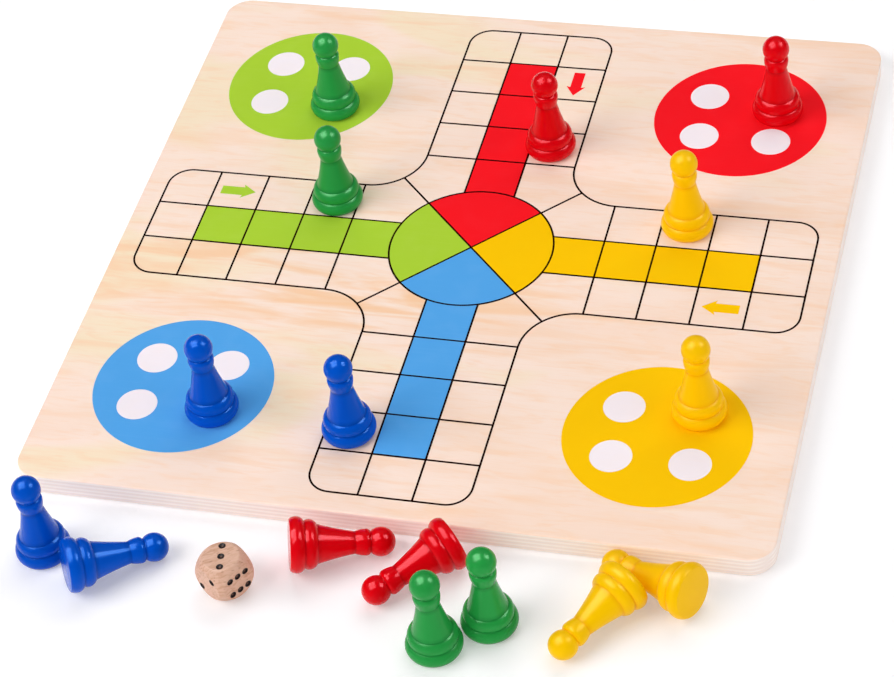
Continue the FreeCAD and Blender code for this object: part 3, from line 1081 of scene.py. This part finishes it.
        # The foot is the largest flat of all: its facets share one normal.
        foot = max(flats.values(), key=lambda facets: sum(facet.area for facet in facets))
        area = sum(facet.area for facet in foot)
        centre = sum((facet.center * facet.area for facet in foot), Vector()) / area
        turn = Vector((0, 0, 1)).rotation_difference(-foot[-1].normal).to_matrix().to_4x4()
        return Matrix.Translation(centre) @ turn

    def copy(self, pattern: Object, node: str, index: int) -> Object:
        """Copy the pattern to one pawn's place, and shift the paint's pattern from copy to copy.

        Args:
            pattern: The turned shape.
            node: The pawn's solid.
            index: How many copies were made before.

        Returns:
            The copy.
        """
        spin = Matrix.Rotation(math.radians(self.copy_turn) * index, 4, "Z")
        pawn = copy_shape(pattern, self.seat(self.nodes[node]) @ spin)
        shift = Vector((index * self.pattern_step, 0, 0))
        for place in pawn.data.attributes[self.PLACE].data:
            place.vector = Vector(place.vector) + shift
        return named(pawn, f"turned_{node}")

    def build(self) -> None:
        """Turn the pattern, copy it to every pawn's place and paint the copies."""
        pattern = self.turn()
        index = 0
        for colour, paint in self.paints().items():
            material = paint.material(self.groups)
            for number in range(1, self.count_per_colour + 1):
                node = f"pawn_{colour.value}_{number}"
                pawn = self.copy(pattern, node, index)
                dress(pawn, material)
                hand_over(pawn, node, node)
                index += 1
        bpy.data.objects.remove(pattern)


@dataclass
class Die:
    """The wooden die: a cube rounded by a sphere, with drilled dimples, and the paint in them."""

    groups: ShaderGroups
    body: str = "die"
    edge: float = 16 * MM
    sphere_radius: float = 10.3 * MM
    pip_radius: float = 1.25 * MM
    pip_step: float = 3.4 * MM
    pip_depth: float = 0.5 * MM
    paint_thickness: float = 0.1 * MM
    face_cuts: int = 47
    tumbling_share: float = 0.5
    tumbling_rounds: int = 5
    drill_sides: int = 40
    block_smooth_below: float = 32.0
    paint_smooth_below: float = 40.0
    yaw: float = 57.0

    MIDDLE = "pip_middle"

    def drill_radius(self) -> float:
        """Radius of the round drill that leaves a dimple of the pip's width and depth."""
        return (self.pip_radius ** 2 + self.pip_depth ** 2) / (2 * self.pip_depth)

    @staticmethod
    def pip_places(value: int) -> List[Tuple[int, int]]:
        """Places of the pips of one face, in steps from its centre.

        Args:
            value: The face's number.

        Returns:
            The steps along the face's two directions.
        """
        places = [(0, 0)] if value % 2 else []
        if value > 1:
            places += [(-1, -1), (1, 1)]
        if value > 3:
            places += [(-1, 1), (1, -1)]
        if value == 6:
            places += [(0, -1), (0, 1)]
        return places

    def pip_seats(self) -> List[Matrix]:
        """The place of every pip on an unturned die, with +Z out of its face.

        Returns:
            One matrix for each pip, at the face.
        """
        x_axis, y_axis, up = Vector((1, 0, 0)), Vector((0, 1, 0)), Vector((0, 0, 1))
        faces = [(1, y_axis, -x_axis), (2, -x_axis, -y_axis), (3, up, x_axis)]
        faces += [(7 - value, -normal, -across) for value, normal, across in faces]
        seats = []
        for value, normal, across in faces:
            side = normal.cross(across)
            turn = Matrix((across, side, normal)).transposed().to_4x4()
            for step_u, step_v in self.pip_places(value):
                offset = Vector((step_u * self.pip_step, step_v * self.pip_step, self.edge / 2))
                seats.append(turn @ Matrix.Translation(offset))
        return seats

    def build(self) -> None:
        """Model the die and its paint, dress them and set them in place."""
        low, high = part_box("die_body")
        centre = (low + high) / 2
        place = Matrix.Translation(centre) @ Matrix.Rotation(math.radians(self.yaw), 4, "Z")
        block = self.block()
        paint = self.paint()
        wood, black = BeechFinish(centre=centre), PipFinish()
        for piece, finish, node in ((block, wood, "die_body"), (paint, black, "die_pips")):
            dress(piece, finish.material(self.groups))
            piece.data.transform(place)
            hand_over(piece, self.body, node)

    def block(self) -> Object:
        """Model the drilled wooden block, centred on the origin.

        Returns:
            The block.
        """
        clear_selection()
        bpy.ops.mesh.primitive_cube_add(size=self.edge)
        block = named(bpy.context.active_object, "die_block")
        bpy.ops.object.mode_set(mode="EDIT")
        bpy.ops.mesh.select_all(action="SELECT")
        bpy.ops.mesh.subdivide(number_cuts=self.face_cuts)
        bpy.ops.transform.tosphere(value=1.0)
        grown = self.sphere_radius / bmesh.from_edit_mesh(block.data).verts[:][0].co.length
        bpy.ops.transform.resize(value=(grown, grown, grown), center_override=ORIGIN)
        for axis in range(3):
            for side in (-1, 1):
                self.flatten(block, axis, side)
        bpy.ops.object.mode_set(mode="OBJECT")
        apply_modifier(block, "SMOOTH", factor=self.tumbling_share, iterations=self.tumbling_rounds)
        drills = self.at_pips(self.drill_tip("round_drill", 2 * self.pip_depth, True))
        apply_modifier(block, "BOOLEAN", operation="DIFFERENCE", object=drills, solver="EXACT")
        bpy.data.objects.remove(drills)
        smooth(block, self.block_smooth_below)
        apply_modifier(block, "WEIGHTED_NORMAL", keep_sharp=True)
        return block

    def flatten(self, block: Object, axis: int, side: int) -> None:
        """Press what stands out past one face of the die flat.

        Args:
            block: The block, a ball in edit mode.
            axis: The axis that the face is square to, 0 to 2.
            side: The face's side of the block, -1 or 1.
        """
        bpy.ops.mesh.select_mode(type="VERT")
        bpy.ops.mesh.select_all(action="DESELECT")
        for corner in bmesh.from_edit_mesh(block.data).verts:
            corner.select_set(corner.co[axis] * side > self.edge / 2)
        bmesh.update_edit_mesh(block.data)
        squeeze = [1.0, 1.0, 1.0]
        squeeze[axis] = 0.0
        middle = [0.0, 0.0, 0.0]
        middle[axis] = side * self.edge / 2
        bpy.ops.transform.resize(value=squeeze, center_override=middle)

    def drill_tip(self, name: str, length: float, closed: bool) -> Object:
        """Model the tip of the round drill, with the drill's centre on the origin.

        Args:
            name: The shape's name.
            length: How much of the tip is kept.
            closed: Whether the cut above it gets a face.

        Returns:
            The tip, pointing down.
        """
        clear_selection()
        sides, radius = self.drill_sides, self.drill_radius()
        bpy.ops.mesh.primitive_uv_sphere_add(segments=sides, ring_count=sides, radius=radius)
        tip = named(bpy.context.active_object, name)
        bpy.ops.object.mode_set(mode="EDIT")
        bpy.ops.mesh.select_all(action="SELECT")
        cut = (0, 0, length - radius)
        bpy.ops.mesh.bisect(plane_co=cut, plane_no=(0, 0, 1), clear_outer=True, use_fill=closed)
        bpy.ops.object.mode_set(mode="OBJECT")
        return tip

    def at_pips(self, tip: Object) -> Object:
        """Set copies of a drill's tip into every pip, as deep as its dimple, and join them.

        Args:
            tip: The tip, which is used up.

        Returns:
            The joined copies.
        """
        lift = Matrix.Translation((0, 0, self.drill_radius() - self.pip_depth))
        copies = [copy_shape(tip, seat @ lift) for seat in self.pip_seats()]
        bpy.data.objects.remove(tip)
        choose(copies[0])
        for copy in copies:
            copy.select_set(True)
        bpy.ops.object.join()
        return bpy.context.active_object

    def paint(self) -> Object:
        """Model the paint as thin cups in the dimples, centred on the origin.

        Returns:
            The joined cups.
        """
        cup = self.drill_tip("pip_cup", self.pip_depth, False)
        apply_modifier(cup, "SOLIDIFY", thickness=self.paint_thickness, offset=-1)
        smooth(cup, self.paint_smooth_below)
        middle = cup.data.attributes.new(self.MIDDLE, "FLOAT", "POINT")
        for corner in cup.data.vertices:
            middle.data[corner.index].value = 1 - math.hypot(corner.co.x, corner.co.y) / self.pip_radius
        return named(self.at_pips(cup), "die_pip_paint")


def looking(aim: Vector, azimuth: float, elevation: float, distance: float, roll: float = 0.0) -> Matrix:
    """The place of a lamp or camera that looks at a point.

    Args:
        aim: The point that it looks at.
        azimuth: Its bearing round the board, in degrees from the front, positive to the right.
        elevation: Its angle above the table, in degrees.
        distance: How far from the point it is.
        roll: Its turn about its own line of sight, in degrees.

    Returns:
        The matrix, with -Z towards the point.
    """
    turn, tilt, lean = (math.radians(angle) for angle in (azimuth, elevation, roll))
    back = Vector((math.sin(turn) * math.cos(tilt), -math.cos(turn) * math.cos(tilt), math.sin(tilt)))
    level = Vector((math.cos(turn), math.sin(turn), 0))
    upright = back.cross(level)
    right = level * math.cos(lean) + upright * math.sin(lean)
    up = back.cross(right)
    turned = Matrix((right, up, back)).transposed().to_4x4()
    return Matrix.Translation(aim + back * distance) @ turned


@dataclass(frozen=True)
class SoftBox:
    """One soft studio lamp, aimed at the board."""

    name: str
    azimuth: float
    elevation: float
    distance: float
    width: float
    height: float
    power: float
    use: LampUse = LampUse.FILL
    shadows: bool = True

    def place(self, aim: Vector) -> None:
        """Set the lamp up for its use.

        Args:
            aim: The point that it faces.
        """
        lamp = bpy.data.lights.new(self.name, "AREA")
        lamp.shape = "RECTANGLE"
        lamp.size = self.width
        lamp.size_y = self.height
        lamp.energy = self.power
        lamp.use_shadow = self.shadows
        holder = bpy.data.objects.new(self.name, lamp)
        holder.visible_camera = False
        holder.visible_diffuse = self.use is LampUse.FILL
        holder.visible_glossy = self.use is LampUse.GLINT
        bpy.context.scene.collection.objects.link(holder)
        holder.matrix_world = looking(aim, self.azimuth, self.elevation, self.distance)


@dataclass
class Studio:
    """The white table, the soft lamps and the camera."""

    floor_half: float = 6.0
    floor_drop: float = 0.05 * MM
    floor_tone: Tone = (0.86, 0.85, 0.865)
    floor_roughness: float = 0.9
    floor_glow: float = 0.22
    floor_fade: Step = Step(0.6, 2.0)
    sky: float = 0.15
    mirrored_sky: float = 0.04
    aim: Triple = (2.77 * MM, -49.79 * MM, 8.6 * MM)
    camera_azimuth: float = 19.93
    camera_elevation: float = 44.33
    camera_roll: float = -8.49
    camera_distance: float = 1.0534
    camera_nearest: float = 0.01
    lens: float = 113.55
    sensor: float = 36.0

    @staticmethod
    def lamps() -> List[SoftBox]:
        """The soft lamps round the table.

        Returns:
            Four that light the surfaces and two that show in the gloss.
        """
        return [
            SoftBox("left_fill", azimuth=-62, elevation=42, distance=2.2, width=1.85, height=1.6, power=33),
            SoftBox("right_fill", azimuth=85, elevation=16, distance=2.4, width=2.4, height=1.0, power=22),
            SoftBox(
                "front_fill", azimuth=0, elevation=14, distance=2.4, width=4.0, height=1.2, power=25,
                shadows=False,
            ),
            SoftBox("back_fill", azimuth=178, elevation=50, distance=2.4, width=2.4, height=1.4, power=25),
            SoftBox(
                "left_glint", azimuth=-66, elevation=65, distance=1.5, width=1.4, height=1.25, power=80,
                use=LampUse.GLINT,
            ),
            SoftBox(
                "right_glint", azimuth=105, elevation=47, distance=1.5, width=0.7, height=0.7, power=28,
                use=LampUse.GLINT,
            ),
        ]

    def build(self) -> None:
        """Set up the floor, the world, the lamps and the camera."""
        self.floor()
        self.world()
        for lamp in self.lamps():
            lamp.place(Vector(self.aim))
        self.camera()
        bpy.context.scene.view_settings.view_transform = "Standard"
        LOG.info("studio is set")

    def floor(self) -> None:
        """Lay a white table top that keeps the soft shadows near the set and is plain white far away."""
        clear_selection()
        bpy.ops.mesh.primitive_plane_add(size=2 * self.floor_half, location=(0, 0, -self.floor_drop))
        table = named(bpy.context.active_object, "table_top")
        material, bench, shader = new_material("white_table")
        rays = bench.add("ShaderNodeLightPath")
        away = bench.measure("LENGTH", bench.add("ShaderNodeTexCoord")["Object"])
        glow = bench.between(bench.rise(away, self.floor_fade), self.floor_glow, 1.0)
        seen = bench.calc("MULTIPLY", rays["Is Camera Ray"], glow)
        mirrored = bench.calc("MULTIPLY", rays["Is Glossy Ray"], self.floor_glow)
        feeds = {
            "Base Color": (*self.floor_tone, 1.0),
            "Roughness": self.floor_roughness,
            "Specular IOR Level": 0.0,
            "Emission Color": (*WHITE, 1.0),
            "Emission Strength": bench.calc("MAXIMUM", seen, mirrored),
        }
        bench.feed(shader, feeds)
        dress(table, material)

    def world(self) -> None:
        """Fill the room with even white light, show white behind the table and keep the gloss clear."""
        world = bpy.data.worlds.new("white_room")
        world.use_nodes = True
        bpy.context.scene.world = world
        bench = NodeBench(world.node_tree)
        rays = bench.add("ShaderNodeLightPath")
        seen = bench.calc("MAXIMUM", rays["Is Camera Ray"], rays["Is Transmission Ray"])
        light = bench.between(rays["Is Glossy Ray"], self.sky, self.mirrored_sky)
        feeds = {"Color": (*WHITE, 1.0), "Strength": bench.between(seen, light, 1.0)}
        bench.feed(world.node_tree.nodes["Background"], feeds)

    def camera(self) -> None:
        """Set the camera at the photograph's viewing angle."""
        data = bpy.data.cameras.new("camera")
        data.sensor_fit = "HORIZONTAL"
        data.sensor_width = self.sensor
        data.lens = self.lens
        data.clip_start = self.camera_nearest
        camera = bpy.data.objects.new("camera", data)
        bpy.context.scene.collection.objects.link(camera)
        camera.matrix_world = looking(
            Vector(self.aim), self.camera_azimuth, self.camera_elevation,
            self.camera_distance, self.camera_roll,
        )
        bpy.context.scene.camera = camera


def main() -> None:
    """Build the set round its frame, then the studio."""
    logging.basicConfig(level=logging.INFO, format="%(name)s: %(message)s")
    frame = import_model()
    clear_selection()
    groups = ShaderGroups()
    Board(groups, frame["nodes"]).build()
    PawnTurner(groups, frame["nodes"]).build()
    Die(groups).build()
    Studio().build()
    bpy.context.view_layer.update()


if __name__ == "__main__":
    main()
